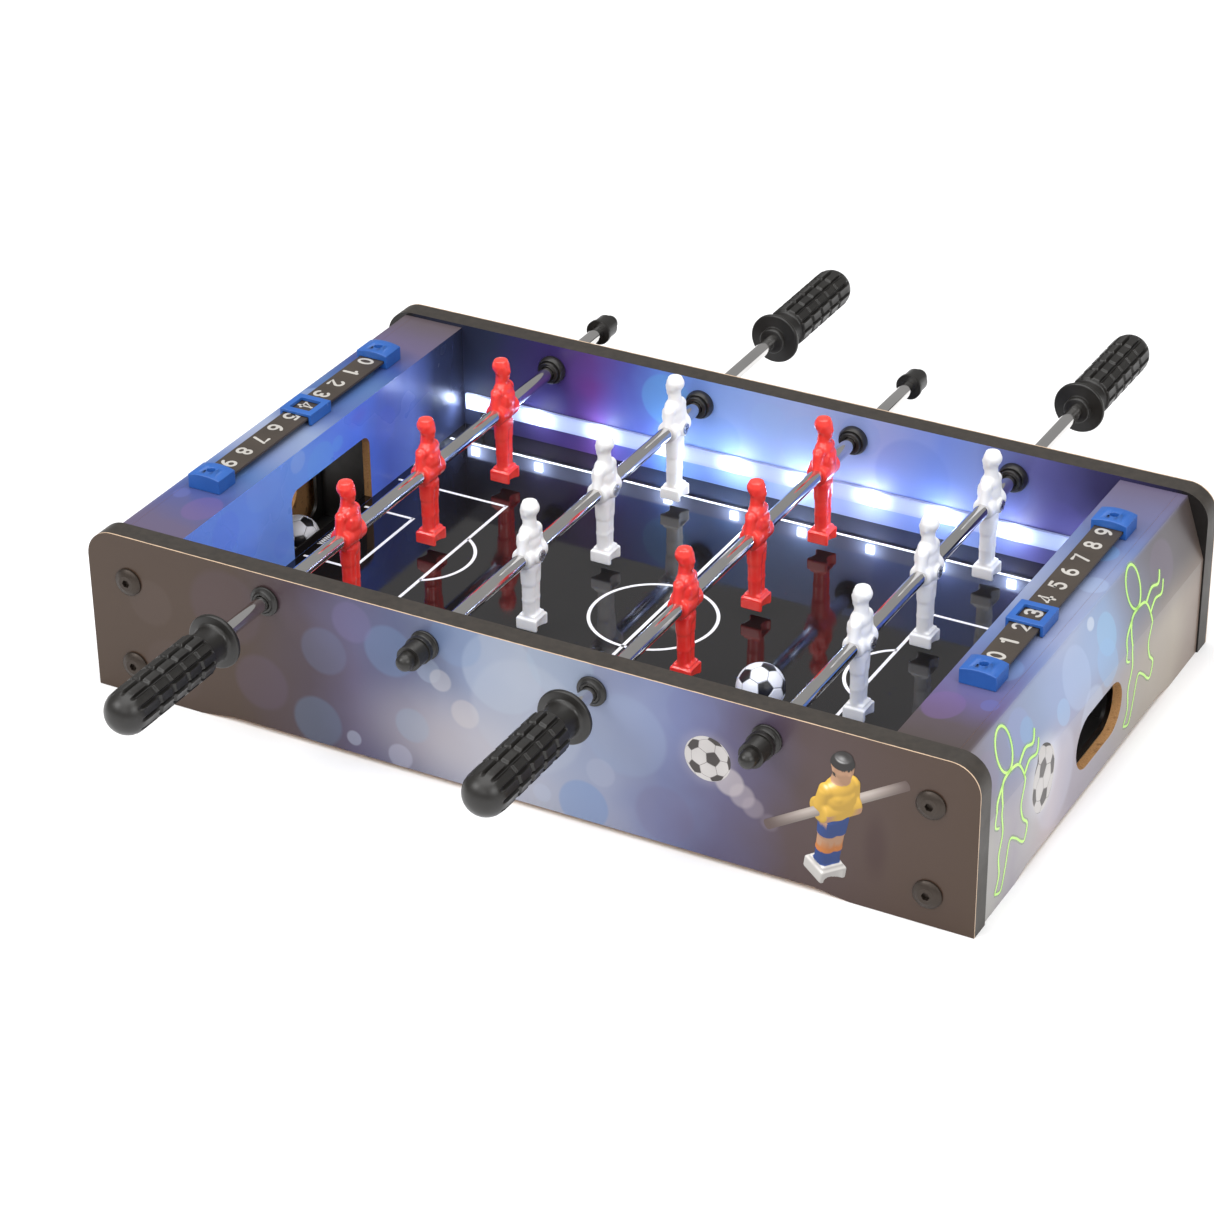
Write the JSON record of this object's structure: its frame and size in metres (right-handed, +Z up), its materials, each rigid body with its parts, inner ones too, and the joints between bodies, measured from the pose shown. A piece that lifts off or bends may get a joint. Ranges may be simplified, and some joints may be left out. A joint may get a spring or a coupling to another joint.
{
  "type": "tabletop foosball game",
  "caption": "Low tabletop foosball cabinet with sliding, turning player rods, goal boxes with ball return holes, slider score counters and a lit strip inside one long wall.",
  "frame": {"origin": "centre of the overall box, rods and handles included, at the height of the feet it stands on", "axes": "+Z up, X along the length from goal to goal, Y along the rods; red rods have their handles towards -Y"},
  "size_m": [0.512, 0.62, 0.1131],
  "materials": {
    "printed_board": "satin printed laminate",
    "bare_board": "raw fibreboard",
    "field_black": "mirror gloss",
    "black_plastic": "satin",
    "tray_black": "matte",
    "bolt_black": "black oxide",
    "rod_chrome": "polished",
    "screw_steel": "bright zinc",
    "red_player": "glossy",
    "white_player": "satin",
    "counter_blue": "satin",
    "strip_brown": "matte, printed numerals",
    "led_profile": "translucent white",
    "lamp_white": "lit",
    "ball_white": "printed black pentagons",
    "cell_wrap": "satin wrap",
    "contact_nickel": "nickel",
    "wire_black": "matte"
  },
  "bodies": {
    "table": {"front_wall": "printed_board", "back_wall": "printed_board", "left_goal_panel": "printed_board", "right_goal_panel": "printed_board", "left_end_top": "printed_board", "right_end_top": "printed_board", "left_end_panel": "printed_board", "right_end_panel": "printed_board", "playfield": "field_black", "field_rails": "bare_board", "left_ball_tray": "tray_black", "right_ball_tray": "tray_black", "corner_blocks": "bare_board", "corner_bolts": "bolt_black", "rod_bushings": "black_plastic", "bushing_nuts": "black_plastic", "score_strips": "strip_brown", "score_end_blocks": "counter_blue", "score_screws": "screw_steel", "led_strip": "led_profile", "led_lamps": "lamp_white", "battery_box": "black_plastic", "battery_cover": "black_plastic", "batteries": "cell_wrap", "battery_contacts": "contact_nickel", "switch_body": "black_plastic", "led_wire": "wire_black"},
    "right_score_slider": {"right_score_slider": "counter_blue"},
    "left_score_slider": {"left_score_slider": "counter_blue"},
    "switch_knob": {"switch_knob": "black_plastic"},
    "field_ball": {"field_ball": "ball_white"},
    "goal_ball": {"goal_ball": "ball_white"},
    "rod_1_cap": {"end_cap_1": "black_plastic"},
    "rod_1_turn": {"rod_1": "rod_chrome", "handle_1": "black_plastic", "red_player_1a": "red_player", "red_player_1b": "red_player", "red_player_1c": "red_player", "player_screws_1": "screw_steel"},
    "rod_2_cap": {"end_cap_2": "black_plastic"},
    "rod_2_turn": {"rod_2": "rod_chrome", "handle_2": "black_plastic", "white_player_2a": "white_player", "white_player_2b": "white_player", "white_player_2c": "white_player", "player_screws_2": "screw_steel"},
    "rod_3_cap": {"end_cap_3": "black_plastic"},
    "rod_3_turn": {"rod_3": "rod_chrome", "handle_3": "black_plastic", "red_player_3a": "red_player", "red_player_3b": "red_player", "red_player_3c": "red_player", "player_screws_3": "screw_steel"},
    "rod_4_cap": {"end_cap_4": "black_plastic"},
    "rod_4_turn": {"rod_4": "rod_chrome", "handle_4": "black_plastic", "white_player_4a": "white_player", "white_player_4b": "white_player", "white_player_4c": "white_player", "player_screws_4": "screw_steel"}
  },
  "joints": [
    {"name": "rod_1_slide", "type": "slide", "parent": "table", "child": "rod_1_cap", "axis": [0, 1, 0], "range_m": [-0.037, 0.037]},
    {"name": "rod_1_spin", "type": "hinge", "parent": "rod_1_cap", "child": "rod_1_turn", "pos_m": [-0.1443, 0, 0.081], "axis": [0, 1, 0], "continuous": true},
    {"name": "rod_2_slide", "type": "slide", "parent": "table", "child": "rod_2_cap", "axis": [0, 1, 0], "range_m": [-0.073, 0.001]},
    {"name": "rod_2_spin", "type": "hinge", "parent": "rod_2_cap", "child": "rod_2_turn", "pos_m": [-0.0481, 0, 0.081], "axis": [0, 1, 0], "continuous": true},
    {"name": "rod_3_slide", "type": "slide", "parent": "table", "child": "rod_3_cap", "axis": [0, 1, 0], "range_m": [-0.0555, 0.0185]},
    {"name": "rod_3_spin", "type": "hinge", "parent": "rod_3_cap", "child": "rod_3_turn", "pos_m": [0.0481, 0, 0.081], "axis": [0, 1, 0], "continuous": true},
    {"name": "rod_4_slide", "type": "slide", "parent": "table", "child": "rod_4_cap", "axis": [0, 1, 0], "range_m": [-0.0715, 0.0025]},
    {"name": "rod_4_spin", "type": "hinge", "parent": "rod_4_cap", "child": "rod_4_turn", "pos_m": [0.1443, 0, 0.081], "axis": [0, 1, 0], "continuous": true},
    {"name": "left_score_slide", "type": "slide", "parent": "table", "child": "left_score_slider", "axis": [0, 1, 0], "range_m": [-0.0744, 0.0586]},
    {"name": "right_score_slide", "type": "slide", "parent": "table", "child": "right_score_slider", "axis": [0, 1, 0], "range_m": [-0.0418, 0.0912]},
    {"name": "switch_slide", "type": "slide", "parent": "table", "child": "switch_knob", "axis": [1, 0, 0], "range_m": [0, 0.0046]},
    {"name": "field_ball_lift", "type": "slide", "parent": "table", "child": "field_ball", "axis": [0, 0, 1], "range_m": [0, 0.12]},
    {"name": "goal_ball_roll", "type": "slide", "parent": "table", "child": "goal_ball", "axis": [0, 1, 0], "range_m": [-0.0255, 0.0355]}
  ]
}
